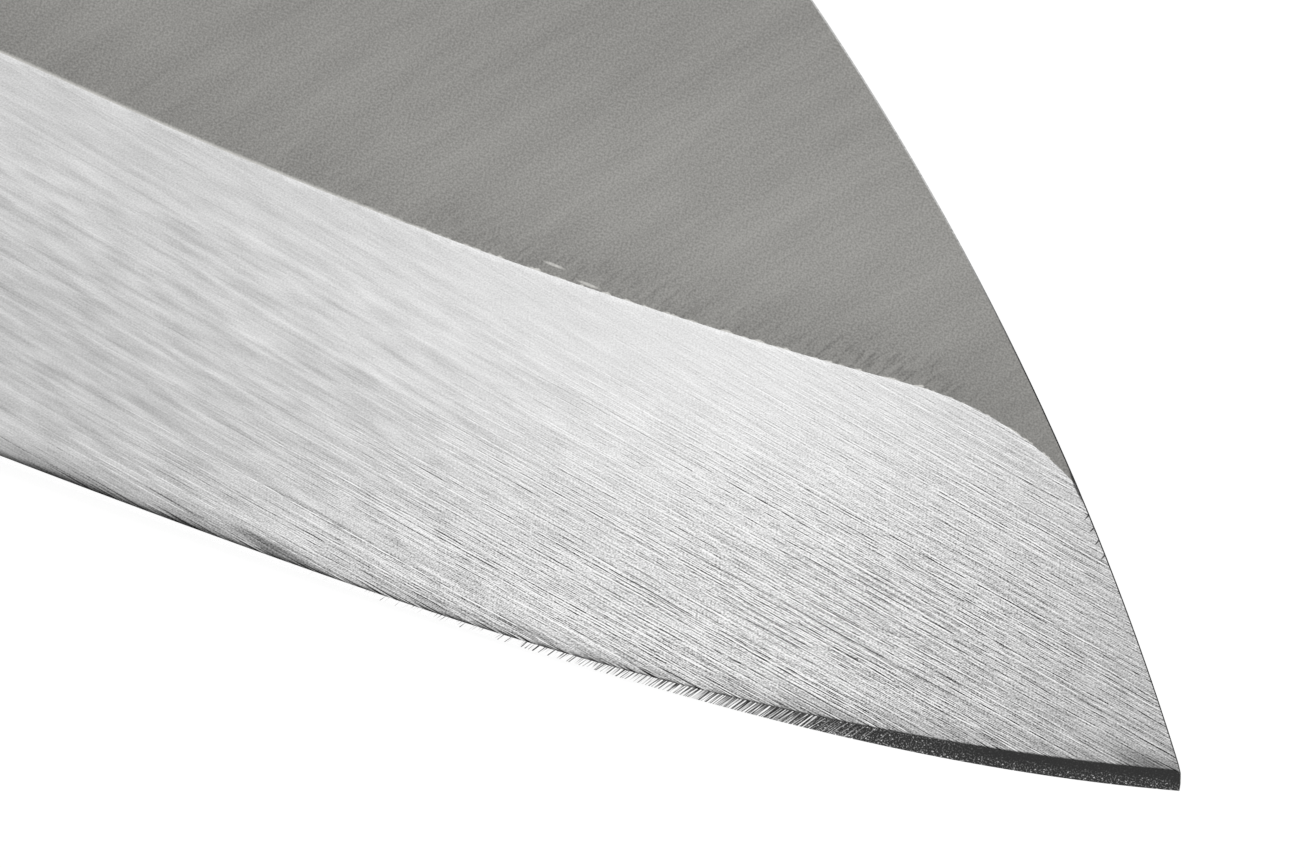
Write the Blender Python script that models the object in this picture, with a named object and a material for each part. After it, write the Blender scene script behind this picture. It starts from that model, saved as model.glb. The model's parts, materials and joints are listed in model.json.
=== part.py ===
"""Deba knife for the right hand: a thick single-bevel blade whose hidden tang is set in a wooden handle.

Units are metres and +Z is up. The knife is drawn along +X with its point forwards, its spine line on
y = 0 and the flat of its back (the ura) on z = 0, so its bevelled side (the omote) faces +Z. The heel
is at x = 0. At the end the whole knife is laid on a table as it comes to rest there.
"""

import math

import bmesh
import bpy
import numpy as np
from mathutils import Matrix, Vector

MM = 0.001

# Outline of the blade
BLADE_LENGTH = 165 * MM
BLADE_HEIGHT = 50 * MM
EDGE_RISE = 11.6 * MM
EDGE_POWERS = (2, 8)
SPINE_BEND_RADIUS = 55 * MM
SPINE_BEND_ANGLE = math.radians(31)
POINT_ANGLE = math.radians(48.6)
NOSE_RADIUS = 2.4 * MM
NOSE_ANGLE = math.radians(80)

# Shinogi, the ridge between the flat side (hira) and the wide bevel (kireha)
KIREHA_HEIGHT = 21.6 * MM
SHINOGI_RISE_START = 64 * MM
SHINOGI_RISE_RADIUS = 266 * MM
SHINOGI_CREST = 18.5 * MM
SHINOGI_CREST_RADIUS = 17.6 * MM
SHINOGI_FALL_ANGLE = math.radians(35)

# Thickness and ground faces
HEEL_THICKNESS = 7 * MM
POINT_THICKNESS = 1.85 * MM
KIREHA_RADIUS = 700 * MM
MICRO_BEVEL_WIDTH = 0.3 * MM
MICRO_BEVEL_POINT_WIDTH = 1.1 * MM
MICRO_BEVEL_SPREAD = 40 * MM
MICRO_BEVEL_ANGLE = math.radians(25)
SPINE_CHAMFER = 0.4 * MM
SPINE_POINT_CHAMFER = 0.1 * MM
HOLLOW_RADIUS = 600 * MM
HOLLOW_EDGE_RIM = 2 * MM
HOLLOW_SPINE_RIM = 2.5 * MM
HOLLOW_START = 3 * MM
HOLLOW_RUNOUT = 16 * MM

# Heel, neck and tang
NECK_LENGTH = 11 * MM
HEEL_FILLET = 7 * MM
MACHI_STEP = 2 * MM
NECK_STEP = 3 * MM
MACHI_SIDE_STEP = 0.3 * MM
MACHI_GAP = 6 * MM
TANG_DEPTH = 95 * MM
TANG_HEIGHT = 14 * MM
TANG_END_HEIGHT = 6 * MM
TANG_END_THICKNESS = 2.5 * MM
TANG_CORNER = 0.6 * MM

# Handle, ferrule and the seal round the tang
HANDLE_LENGTH = 128 * MM
FERRULE_LENGTH = 26 * MM
FERRULE_WALL = 3.1 * MM
TENON_CHEEK = 3.9 * MM
TENON_SHOULDER = 1.9 * MM
HANDLE_FLARE = 1.8 * MM
RIDGE_HEIGHT = 1.6 * MM
RIDGE_ANGLE = math.radians(-22)
RIDGE_SPREAD = math.radians(30)
MOUTH_ROUND = 0.8 * MM
BUTT_ROUND = 2.2 * MM
SEAL_RECESS = 0.2 * MM
SEAL_DEPTH = 2 * MM
SLOT_TAIL = 3 * MM
CLEARANCE = 0.3 * MM

# How finely the forms are divided
BLADE_STATIONS = 100
STATION_CROWDING = 1.6
KIREHA_STRIPS = 5
HIRA_STRIPS = 3
HOLLOW_STRIPS = 8
FILLET_STEPS = 10
HANDLE_SIDES = 56
ROUNDING_STEPS = 4
SAME_POINT = 0.001 * MM

# Densities in kilograms for each cubic metre, for the way that the knife comes to rest
STEEL_DENSITY = 7750
HORN_DENSITY = 1300
WOOD_DENSITY = 500
RESIN_DENSITY = 1150

# Places that follow from the sizes
POINT = Vector((BLADE_LENGTH, EDGE_RISE - BLADE_HEIGHT))
NECK_HEIGHT = MACHI_STEP + TANG_HEIGHT + NECK_STEP
TANG_THICKNESS = HEEL_THICKNESS - 2 * MACHI_SIDE_STEP
AXIS_Y = -(MACHI_STEP + TANG_HEIGHT / 2)
AXIS_Z = HEEL_THICKNESS / 2
MOUTH_X = -(NECK_LENGTH + MACHI_GAP)
FERRULE_BACK_X = MOUTH_X - FERRULE_LENGTH
BUTT_X = MOUTH_X - HANDLE_LENGTH
TANG_END_X = MOUTH_X - TANG_DEPTH
SEAL_FRONT_X = MOUTH_X - SEAL_RECESS
SEAL_BACK_X = SEAL_FRONT_X - SEAL_DEPTH
TENON_HALF_HEIGHT = TANG_HEIGHT / 2 + CLEARANCE + TENON_SHOULDER
TENON_HALF_WIDTH = TANG_THICKNESS / 2 + CLEARANCE + TENON_CHEEK
FRONT_HALF_HEIGHT = TENON_HALF_HEIGHT + CLEARANCE + FERRULE_WALL
FRONT_HALF_WIDTH = TENON_HALF_WIDTH + CLEARANCE + FERRULE_WALL


def clear_scene():
    for thing in list(bpy.data.objects):
        bpy.data.objects.remove(thing, do_unlink=True)


def finish(name, colour, roughness, metallic=0.0):
    """A plain material with a colour (linear red, green, blue), a roughness and a metallic value."""
    material = bpy.data.materials.new(name)
    material.use_nodes = True
    shader = material.node_tree.nodes["Principled BSDF"]
    shader.inputs["Base Color"].default_value = (*colour, 1.0)
    shader.inputs["Roughness"].default_value = roughness
    shader.inputs["Metallic"].default_value = metallic
    return material


def add_object(name, shape, material=None, sharp=math.radians(30)):
    """Turns a bmesh into an object of the scene. One without a material is a helper that isn't shown."""
    bmesh.ops.recalc_face_normals(shape, faces=shape.faces)
    mesh = bpy.data.meshes.new(name)
    shape.to_mesh(mesh)
    shape.free()
    mesh.shade_smooth()
    mesh.set_sharp_from_angle(angle=sharp)
    thing = bpy.data.objects.new(name, mesh)
    bpy.context.scene.collection.objects.link(thing)
    if material is None:
        thing.hide_render = True
        thing.display_type = "WIRE"
    else:
        mesh.materials.append(material)
    return thing


def boolean(thing, other, operation):
    modifier = thing.modifiers.new(operation.lower(), "BOOLEAN")
    modifier.operation = operation
    modifier.solver = "EXACT"
    modifier.object = other


def loft(rings, closed=False, apex=None):
    """A skin over rings of equally many points. Its ends are flat, meet each other, or run to an apex."""
    shape = bmesh.new()
    loops = [[shape.verts.new(point) for point in ring] for ring in rings]
    pairs = list(zip(loops, loops[1:]))
    if closed:
        pairs.append((loops[-1], loops[0]))
    for near, far in pairs:
        for k in range(len(near)):
            shape.faces.new((near[k - 1], near[k], far[k], far[k - 1]))
    if not closed:
        shape.faces.new(loops[0])
    if apex is not None:
        tip = shape.verts.new(apex)
        for k in range(len(loops[-1])):
            shape.faces.new((loops[-1][k - 1], loops[-1][k], tip))
    elif not closed:
        shape.faces.new(reversed(loops[-1]))
    bmesh.ops.remove_doubles(shape, verts=shape.verts, dist=SAME_POINT)
    return shape


def outward(angle):
    """Direction from a circle's centre to where its upper side falls at an angle below +X."""
    return Vector((math.sin(angle), math.cos(angle)))


def arch(x, centre, radius):
    """Height of the upper side of a circle at x."""
    return centre.y + math.sqrt(radius**2 - (x - centre.x) ** 2)


def dip(x, centre, radius):
    """Height of the lower side of a circle at x."""
    return centre.y - math.sqrt(radius**2 - (x - centre.x) ** 2)


def smooth_step(t):
    t = min(max(t, 0.0), 1.0)
    return t * t * (3 - 2 * t)


# Three arcs of the spine, worked out from the point backwards. Each is tangent to the next, and the
# long sweep takes the radius with which the bend ends on the straight spine line.
NOSE_CENTRE = POINT - NOSE_RADIUS * outward(NOSE_ANGLE)
NOSE_START = NOSE_CENTRE + NOSE_RADIUS * outward(POINT_ANGLE)
BEND_DROP = SPINE_BEND_RADIUS * (1 - math.cos(SPINE_BEND_ANGLE))
SWEEP_DROP = -NOSE_START.y - BEND_DROP
SWEEP_RADIUS = SWEEP_DROP / (math.cos(SPINE_BEND_ANGLE) - math.cos(POINT_ANGLE))
SWEEP_CENTRE = NOSE_START - SWEEP_RADIUS * outward(POINT_ANGLE)
SWEEP_START = SWEEP_CENTRE + SWEEP_RADIUS * outward(SPINE_BEND_ANGLE)
BEND_CENTRE = SWEEP_START - SPINE_BEND_RADIUS * outward(SPINE_BEND_ANGLE)


def spine_y(x):
    """The spine: straight, bent down, swept to the nose, and rounded off at the point."""
    if x <= BEND_CENTRE.x:
        return 0.0
    if x <= SWEEP_START.x:
        return arch(x, BEND_CENTRE, SPINE_BEND_RADIUS)
    if x <= NOSE_START.x:
        return arch(x, SWEEP_CENTRE, SWEEP_RADIUS)
    return arch(x, NOSE_CENTRE, NOSE_RADIUS)


def edge_y(x):
    """The cutting edge: nearly flat at the heel, with a belly that turns up late towards the point."""
    share = max(x, 0.0) / BLADE_LENGTH
    climb = sum(share**power for power in EDGE_POWERS) / len(EDGE_POWERS)
    return EDGE_RISE * climb - BLADE_HEIGHT


def spine_chamfer(x):
    """The spine's corners are rubbed down for the hand at the heel, and crisp from the bend forwards."""
    crisp = smooth_step(x / BEND_CENTRE.x)
    return SPINE_CHAMFER + (SPINE_POINT_CHAMFER - SPINE_CHAMFER) * crisp


# The shinogi is straight, then lifts on a wide arc, and turns down to the spine on a tight one
RISE_CENTRE = Vector((BLADE_LENGTH - SHINOGI_RISE_START, KIREHA_HEIGHT - BLADE_HEIGHT + SHINOGI_RISE_RADIUS))
CREST_X = BLADE_LENGTH - SHINOGI_CREST
CREST_REACH = SHINOGI_RISE_RADIUS + SHINOGI_CREST_RADIUS
CREST_RUN = CREST_X - RISE_CENTRE.x
CREST_CENTRE = Vector((CREST_X, RISE_CENTRE.y - math.sqrt(CREST_REACH**2 - CREST_RUN**2)))
CREST_START_X = RISE_CENTRE.x + SHINOGI_RISE_RADIUS * CREST_RUN / CREST_REACH
FALL_X = CREST_X + SHINOGI_CREST_RADIUS * math.sin(SHINOGI_FALL_ANGLE)


def shinogi_y(x):
    """The ridge between the hira and the kireha."""
    if x <= RISE_CENTRE.x:
        return KIREHA_HEIGHT - BLADE_HEIGHT
    if x <= CREST_START_X:
        return dip(x, RISE_CENTRE, SHINOGI_RISE_RADIUS)
    if x <= FALL_X:
        return arch(x, CREST_CENTRE, SHINOGI_CREST_RADIUS)
    return arch(FALL_X, CREST_CENTRE, SHINOGI_CREST_RADIUS) - (x - FALL_X) * math.tan(SHINOGI_FALL_ANGLE)


def shinogi_end():
    """Where the ridge runs out into the spine, found by halving."""
    low = 0.0
    high = BLADE_LENGTH
    while high - low > SAME_POINT:
        middle = (low + high) / 2
        if shinogi_y(middle) < spine_y(middle) - spine_chamfer(middle):
            low = middle
        else:
            high = middle
    return low


SHINOGI_END_X = shinogi_end()


def hira_z(x):
    """The flat side is one plane, which thins the blade evenly towards the point."""
    return HEEL_THICKNESS + (POINT_THICKNESS - HEEL_THICKNESS) * x / BLADE_LENGTH


def micro_bevel_width(x):
    widening = smooth_step((x - BLADE_LENGTH + MICRO_BEVEL_SPREAD) / MICRO_BEVEL_SPREAD)
    return MICRO_BEVEL_WIDTH + (MICRO_BEVEL_POINT_WIDTH - MICRO_BEVEL_WIDTH) * widening


def kireha_slope(x):
    """Rise of the wide bevel from the micro-bevel to the ridge. Past the ridge's end it stays the same."""
    x = min(x, SHINOGI_END_X)
    width = micro_bevel_width(x)
    rise = hira_z(x) - width * math.tan(MICRO_BEVEL_ANGLE)
    return rise / (shinogi_y(x) - edge_y(x) - width)


def crown(along, span, radius):
    """Height of a shallow arc of a large radius over its chord."""
    return along * (span - along) / (2 * radius)


def omote_side(x, chamfer):
    """The bevelled side of a cross-section as (y, z) points, from the edge up to the spine's chamfer."""
    edge = edge_y(x)
    top = spine_y(x) - chamfer
    bevel = min(edge + micro_bevel_width(x), top)
    ridge = max(min(shinogi_y(x), top), bevel) if x < SHINOGI_END_X else top
    foot = (bevel - edge) * math.tan(MICRO_BEVEL_ANGLE)
    slope = kireha_slope(x)
    span = ridge - bevel
    side = [(edge, 0.0)]
    for k in range(KIREHA_STRIPS + 1):
        along = span * k / KIREHA_STRIPS
        side.append((bevel + along, foot + slope * along + crown(along, span, KIREHA_RADIUS)))
    height = side[-1][1]
    for k in range(1, HIRA_STRIPS + 1):
        side.append((ridge + (top - ridge) * k / HIRA_STRIPS, height))
    return side


def ura_side(x, chamfer):
    """The back as (y, z) points from the spine to the edge: a flat rim round a shallow hollow."""
    edge = edge_y(x)
    spine = spine_y(x)
    upper_rim = min(HOLLOW_SPINE_RIM, (spine - edge) / 4)
    lower_rim = min(HOLLOW_EDGE_RIM, (spine - edge) / 4)
    span = spine - edge - upper_rim - lower_rim
    fade = smooth_step((x - HOLLOW_START) / HOLLOW_RUNOUT)
    side = [(spine - chamfer, 0.0)]
    for k in range(HOLLOW_STRIPS + 1):
        along = span * k / HOLLOW_STRIPS
        side.append((spine - upper_rim - along, fade * crown(along, span, HOLLOW_RADIUS)))
    return side


def blade_section(x):
    """One cross-section of the ground blade, as a ring of points that starts at the edge."""
    chamfer = min(spine_chamfer(x), (spine_y(x) - edge_y(x)) / 5)
    omote = omote_side(x, chamfer)
    thickness = omote[-1][1]
    corner = min(chamfer, thickness / 4)
    spine = [(spine_y(x), thickness - corner), (spine_y(x), corner)]
    return [(x, y, z) for y, z in omote + spine + ura_side(x, chamfer)]


def blade_stations():
    """Places of the cross-sections, crowded towards the point, with one where the ridge ends."""
    steps = np.linspace(1, 0, BLADE_STATIONS, endpoint=False)
    places = BLADE_LENGTH - (BLADE_LENGTH + NECK_LENGTH) * steps**STATION_CROWDING
    return sorted([*places, SHINOGI_END_X])


def tang_ring(x, half_height, half_thickness, growth=0.0):
    """A rectangle with its corners cut, round the handle's axis. Growth makes it larger all round."""
    height = half_height + growth
    thickness = half_thickness + growth
    ring = []
    for side_y, side_z in ((1, 1), (-1, 1), (-1, -1), (1, -1)):
        upright = (side_y * height, side_z * (thickness - TANG_CORNER))
        level = (side_y * (height - TANG_CORNER), side_z * thickness)
        ring += (upright, level) if side_y * side_z > 0 else (level, upright)
    return [(x, AXIS_Y + y, AXIS_Z + z) for y, z in ring]


def tang_shape(start_x, end_x, growth=0.0):
    """The tang from start to end. It tapers from the machi, the step behind the neck, to its tail."""
    rings = [tang_ring(start_x, TANG_HEIGHT / 2, TANG_THICKNESS / 2, growth)]
    rings.append(tang_ring(-NECK_LENGTH, TANG_HEIGHT / 2, TANG_THICKNESS / 2, growth))
    rings.append(tang_ring(end_x, TANG_END_HEIGHT / 2, TANG_END_THICKNESS / 2, growth))
    return loft(rings)


def heel_outline():
    """What is cut away behind the heel and below the neck, with a rounded inner corner."""
    behind = -2 * NECK_LENGTH
    below = -2 * BLADE_HEIGHT
    centre = (-HEEL_FILLET, -NECK_HEIGHT - HEEL_FILLET)
    outline = [(behind, below), (behind, -NECK_HEIGHT)]
    for k in range(FILLET_STEPS + 1):
        angle = math.pi / 2 * (1 - k / FILLET_STEPS)
        outline.append((centre[0] + HEEL_FILLET * math.cos(angle), centre[1] + HEEL_FILLET * math.sin(angle)))
    outline.append((0.0, below))
    return outline


def heel_cutter():
    shape = bmesh.new()
    reach = 2 * HEEL_THICKNESS
    corners = [shape.verts.new((x, y, -reach)) for x, y in heel_outline()]
    face = shape.faces.new(corners)
    raised = bmesh.ops.extrude_face_region(shape, geom=[face])["geom"]
    moved = [item for item in raised if isinstance(item, bmesh.types.BMVert)]
    bmesh.ops.translate(shape, verts=moved, vec=(0, 0, 2 * reach))
    return add_object("heel_cutter", shape)


def make_blade(steel):
    """The ground blade, cut out behind its heel, in one piece with its tang."""
    rings = [blade_section(x) for x in blade_stations()]
    shape = loft(rings, apex=(POINT.x, POINT.y, 0.0))
    blade = add_object("blade", shape, steel, sharp=math.radians(5))
    tang = add_object("tang_blank", tang_shape(-NECK_LENGTH / 2, TANG_END_X))
    cutter = heel_cutter()
    boolean(blade, cutter, "DIFFERENCE")
    boolean(blade, tang, "UNION")
    return blade, [cutter, tang]


def handle_ring(x, half_height, half_width):
    """An oval round the handle's axis with a rounded ridge, which the fingers of a right hand find."""
    ring = []
    for k in range(HANDLE_SIDES):
        angle = 2 * math.pi * k / HANDLE_SIDES
        off_ridge = math.remainder(angle - RIDGE_ANGLE, 2 * math.pi) / RIDGE_SPREAD
        swell = 1 + RIDGE_HEIGHT / FRONT_HALF_WIDTH * math.exp(-off_ridge * off_ridge)
        y = AXIS_Y + swell * half_height * math.sin(angle)
        z = AXIS_Z + swell * half_width * math.cos(angle)
        ring.append((x, y, z))
    return ring


def oval_ring(x, half_height, half_width):
    """A plain oval round the handle's axis, for the tenon and what goes round it."""
    ring = []
    for k in range(HANDLE_SIDES):
        angle = 2 * math.pi * k / HANDLE_SIDES
        ring.append((x, AXIS_Y + half_height * math.sin(angle), AXIS_Z + half_width * math.cos(angle)))
    return ring


def outer_ring(x, inset=0.0):
    """The handle's outside at x. It widens evenly from the mouth to the butt."""
    flare = HANDLE_FLARE * (MOUTH_X - x) / HANDLE_LENGTH
    return handle_ring(x, FRONT_HALF_HEIGHT + flare - inset, FRONT_HALF_WIDTH + flare - inset)


def rounded_end(x, inward, radius):
    """Rings that round the rim of an end at x, from the side to the flat. Inward is +1 or -1 along X."""
    rings = []
    for k in range(ROUNDING_STEPS + 1):
        angle = math.pi / 2 * k / ROUNDING_STEPS
        back = radius * (1 - math.sin(angle))
        rings.append(outer_ring(x + inward * back, radius * (1 - math.cos(angle))))
    return rings


def make_ferrule(horn):
    """A sleeve of horn, flush with the wood outside, with a straight oval bore for the tenon."""
    bore_height = TENON_HALF_HEIGHT + CLEARANCE
    bore_width = TENON_HALF_WIDTH + CLEARANCE
    rings = [outer_ring(FERRULE_BACK_X)]
    rings += rounded_end(MOUTH_X, -1, MOUTH_ROUND)
    rings.append(oval_ring(MOUTH_X, bore_height, bore_width))
    rings.append(oval_ring(FERRULE_BACK_X, bore_height, bore_width))
    return add_object("ferrule", loft(rings, closed=True), horn)


def make_handle(wood, slot):
    """The grip with its tenon, slotted for the tang from the front."""
    shoulder_x = FERRULE_BACK_X - CLEARANCE
    rings = [oval_ring(SEAL_BACK_X - CLEARANCE, TENON_HALF_HEIGHT, TENON_HALF_WIDTH)]
    rings.append(oval_ring(shoulder_x, TENON_HALF_HEIGHT, TENON_HALF_WIDTH))
    rings.append(outer_ring(shoulder_x))
    rings += reversed([outer_ring(x) for x in np.linspace(BUTT_X, shoulder_x, 6)[1:-1]])
    rings += rounded_end(BUTT_X, 1, BUTT_ROUND)
    handle = add_object("handle", loft(rings), wood)
    boolean(handle, slot, "DIFFERENCE")
    return handle


def make_seal(resin, slot):
    """A thin plug that closes the mouth of the ferrule round the tang."""
    rings = [oval_ring(x, TENON_HALF_HEIGHT, TENON_HALF_WIDTH) for x in (SEAL_FRONT_X, SEAL_BACK_X)]
    seal = add_object("tang_seal", loft(rings), resin)
    boolean(seal, slot, "DIFFERENCE")
    return seal


def triangles_of(thing):
    """Corners of the finished object's triangles in world space, as an array of n by 3 by 3."""
    evaluated = thing.evaluated_get(bpy.context.evaluated_depsgraph_get())
    mesh = evaluated.to_mesh()
    mesh.calc_loop_triangles()
    points = np.array([evaluated.matrix_world @ vertex.co for vertex in mesh.vertices])
    faces = np.array([triangle.vertices for triangle in mesh.loop_triangles])
    evaluated.to_mesh_clear()
    return points[faces]


def centre_of_mass(pieces):
    """Pieces is a list of (object, density)."""
    mass = 0.0
    moment = np.zeros(3)
    for thing, density in pieces:
        corners = triangles_of(thing)
        volumes = np.linalg.det(corners) / 6
        mass += density * volumes.sum()
        moment += density * (volumes[:, None] * corners.sum(axis=1) / 4).sum(axis=0)
    return Vector(moment / mass)


def supports(corners, normal, centre):
    """Whether a point above a triangle lies over it, looking along the triangle's normal."""
    for start, end in zip(corners, corners[1:] + corners[:1]):
        if (end - start).cross(centre - start).dot(normal) < 0:
            return False
    return True


def resting_normal(pieces):
    """Outward normal of the face of the knife's convex hull that it comes to rest on, laid on its back.

    A body rests on a face that lies below its centre of mass. Of these the one that needs least turning
    is taken, because the knife is drawn with its back down.
    """
    centre = centre_of_mass(pieces)
    hull = bmesh.new()
    for thing, _ in pieces:
        for point in np.unique(triangles_of(thing).reshape(-1, 3), axis=0):
            hull.verts.new(point)
    bmesh.ops.convex_hull(hull, input=hull.verts)
    bmesh.ops.triangulate(hull, faces=hull.faces)
    hull.normal_update()
    steady = []
    for face in hull.faces:
        corners = [vertex.co for vertex in face.verts]
        if supports(corners, face.normal, centre):
            steady.append(face.normal.copy())
    hull.free()
    return min(steady, key=lambda normal: normal.z)


def lay_down(knife, pieces):
    """Turns the knife onto the table, its length along X, with the middle of its box over the origin."""
    turn = resting_normal(pieces).rotation_difference(Vector((0, 0, -1))).to_matrix()
    length = turn @ Vector((1, 0, 0))
    straighten = Matrix.Rotation(-math.atan2(length.y, length.x), 3, "Z")
    knife.matrix_world = (straighten @ turn).to_4x4()
    bpy.context.view_layer.update()
    points = np.concatenate([triangles_of(thing).reshape(-1, 3) for thing, _ in pieces])
    low = points.min(axis=0)
    high = points.max(axis=0)
    knife.location = (-(low[0] + high[0]) / 2, -(low[1] + high[1]) / 2, -low[2])
    bpy.context.view_layer.update()


def main():
    clear_scene()
    steel = finish("blade_steel", (0.56, 0.56, 0.55), 0.32, metallic=1.0)
    horn = finish("buffalo_horn", (0.012, 0.011, 0.010), 0.28)
    wood = finish("magnolia_wood", (0.62, 0.44, 0.26), 0.55)
    resin = finish("seal_resin", (0.05, 0.04, 0.03), 0.45)
    slot = add_object("tang_slot", tang_shape(0.0, TANG_END_X - SLOT_TAIL, CLEARANCE))
    blade, helpers = make_blade(steel)
    ferrule = make_ferrule(horn)
    handle = make_handle(wood, slot)
    seal = make_seal(resin, slot)
    knife = bpy.data.objects.new("knife", None)
    bpy.context.scene.collection.objects.link(knife)
    for thing in (blade, ferrule, handle, seal, slot, *helpers):
        thing.parent = knife
    bpy.context.view_layer.update()
    weights = (STEEL_DENSITY, HORN_DENSITY, WOOD_DENSITY, RESIN_DENSITY)
    lay_down(knife, list(zip((blade, ferrule, handle, seal), weights)))


main()
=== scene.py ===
# %% [markdown]
# A deba is a thick, heavy kitchen knife that is ground on one side only. Seen from its bevelled side it
# has a flat grey upper face, a wide bright bevel below a ridge, and a narrow steep bevel at the edge.
# The solid shapes come packed from the construction script. This script gives them their surfaces: the
# scratches of the grinding stones, the grain of the wood and the polish of the horn.

# %% Load the packed knife
import json
import math

import bmesh
import bpy
from mathutils import Matrix, Vector
from mathutils.kdtree import KDTree


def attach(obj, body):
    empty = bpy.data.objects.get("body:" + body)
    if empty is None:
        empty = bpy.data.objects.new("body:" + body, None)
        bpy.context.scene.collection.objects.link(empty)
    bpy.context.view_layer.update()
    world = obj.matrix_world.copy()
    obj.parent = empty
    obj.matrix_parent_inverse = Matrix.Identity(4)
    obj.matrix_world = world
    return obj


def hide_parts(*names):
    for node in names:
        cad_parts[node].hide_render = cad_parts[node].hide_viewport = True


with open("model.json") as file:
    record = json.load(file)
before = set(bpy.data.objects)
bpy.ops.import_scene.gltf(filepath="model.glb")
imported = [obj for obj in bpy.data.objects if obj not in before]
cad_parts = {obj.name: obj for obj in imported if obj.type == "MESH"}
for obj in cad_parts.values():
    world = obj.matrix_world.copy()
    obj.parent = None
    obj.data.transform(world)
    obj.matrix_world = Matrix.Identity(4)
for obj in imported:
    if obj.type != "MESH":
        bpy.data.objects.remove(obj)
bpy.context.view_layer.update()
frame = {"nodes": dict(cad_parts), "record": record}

# %% [markdown]
# The knife lies tilted on its own curved back, so its long axis isn't quite level. Patterns are far
# easier to place in the blade's own directions: X from heel to point, Y from edge to spine, and Z out of
# the flat back. Their origin is on the spine line above the heel. The record's mounts hold these
# directions, so they are read from there and nothing has to be measured twice.

# %% Find the blade's own directions
MM = 0.001
SPINE_MOUNT_X = 50 * MM
SPINE_MOUNT_Z = 2.72 * MM

mounts = {mount["name"]: mount for mount in frame["record"]["mounts"]}
along = -Vector(mounts["butt_face"]["axis"]).normalized()
across = Vector(mounts["spine_face"]["axis"]).normalized()
outward = along.cross(across)
heel_top = Vector(mounts["spine_face"]["pos_m"]) - SPINE_MOUNT_X * along - SPINE_MOUNT_Z * outward
KNIFE = Matrix((along, across, outward)).transposed().to_4x4()
KNIFE.translation = heel_top
TO_KNIFE = KNIFE.inverted()
TURN_TO_KNIFE = TO_KNIFE.to_3x3()
print("heel on the spine line", [round(value / MM, 2) for value in heel_top], "mm")

# %% [markdown]
# The photograph looks straight down on the blade's front third from about a third of a metre, with the
# blade turned so that its axis falls to the right. A long lens with little perspective fits it. The
# camera is placed in the blade's own directions and then carried over into the room.

# %% Place the camera
VIEW_CENTRE = Vector((132.68, -32.65, 0)) * MM
VIEW_DISTANCE = 335 * MM
AXIS_FALL = math.radians(24)
PIXELS_PER_MM = 19.4
FRAME_WIDTH = 1304
SENSOR = 36
NEAREST_SEEN = 10 * MM

camera_data = bpy.data.cameras.new("camera")
camera_data.sensor_width = SENSOR
camera_data.lens = SENSOR * VIEW_DISTANCE / MM * PIXELS_PER_MM / FRAME_WIDTH
camera_data.clip_start = NEAREST_SEEN
camera = bpy.data.objects.new("camera", camera_data)
bpy.context.scene.collection.objects.link(camera)
turn = Matrix.Rotation(AXIS_FALL, 4, "Z")
camera.matrix_world = KNIFE @ Matrix.Translation(VIEW_CENTRE + Vector((0, 0, VIEW_DISTANCE))) @ turn
bpy.context.scene.camera = camera
bpy.context.scene.view_settings.view_transform = "Standard"
print("lens", round(camera_data.lens, 1), "mm")

# %% [markdown]
# Every finish below is a small tree of shader nodes. A tree of sums is hard to read as nodes, but easy as
# a formula. So a node's output is wrapped in a class that adds and multiplies like a number, and each
# sign in a formula becomes one node. The most useful step is the fade: it goes softly from one result to
# another while a value crosses a span.

# %% Values that change over the surface


class Field:
    """One output of a shader node, which can be used in a formula."""

    def __init__(self, node, output=0):
        self.socket = node.outputs[output]
        self.tree = node.id_data

    def calculate(self, operation, other=0.0):
        return Field(add_node(self.tree, "Math", {0: self, 1: other}, operation=operation))

    def __add__(self, other):
        return self.calculate("ADD", other)

    def __sub__(self, other):
        return self.calculate("SUBTRACT", other)

    def __mul__(self, other):
        return self.calculate("MULTIPLY", other)

    __radd__ = __add__
    __rmul__ = __mul__

    def fade(self, span, results=(0.0, 1.0)):
        """Goes from the first result to the second while the value crosses the span."""
        inputs = {"Value": self, "From Min": span[0], "From Max": span[1]}
        inputs.update({"To Min": results[0], "To Max": results[1]})
        return Field(add_node(self.tree, "MapRange", inputs, interpolation_type="SMOOTHSTEP"), "Result")


def feed(socket, value):
    """Gives a socket a plain value, or links it to the field that is passed."""
    if isinstance(value, Field):
        socket.id_data.links.new(value.socket, socket)
    else:
        socket.default_value = value


def add_node(tree, kind, inputs=None, **settings):
    """Adds a node with its settings, and feeds its inputs."""
    node = tree.nodes.new("ShaderNode" + kind)
    for name, value in settings.items():
        setattr(node, name, value)
    for name, value in (inputs or {}).items():
        feed(node.inputs[name], value)
    return node


print("a field can", [name for name in vars(Field) if not name.startswith("__")])

# %% [markdown]
# Ground steel is never one grey. Each stone leaves lines in its own direction, and they come in several
# sizes at once: broad soft bands from the shape of the stone, thinner lines from its grit, and single
# deep scratches from coarse grains. Nearly all are stretched noise. It is read in the blade's own
# millimetres, so a line's real length and width can be typed in.

# %% Patterns of grinding lines
# A step so large that distance along its axis hardly counts
IGNORED = 1000
# Half a scratch, as a share of the cell that it lies in
SCRATCH_THINNESS = 0.16


def knife_place(tree):
    """A point of the surface in the blade's own directions, in millimetres."""
    place = Field(add_node(tree, "TexCoord"), "Object")
    inputs = {"Vector": place, "Location": KNIFE.translation, "Rotation": KNIFE.to_euler()}
    inputs["Scale"] = (MM, MM, MM)
    return Field(add_node(tree, "Mapping", inputs, vector_type="TEXTURE"))


def part_of(place, axis):
    """How far a place lies along one axis."""
    return Field(add_node(place.tree, "SeparateXYZ", {"Vector": place}), axis)


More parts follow.
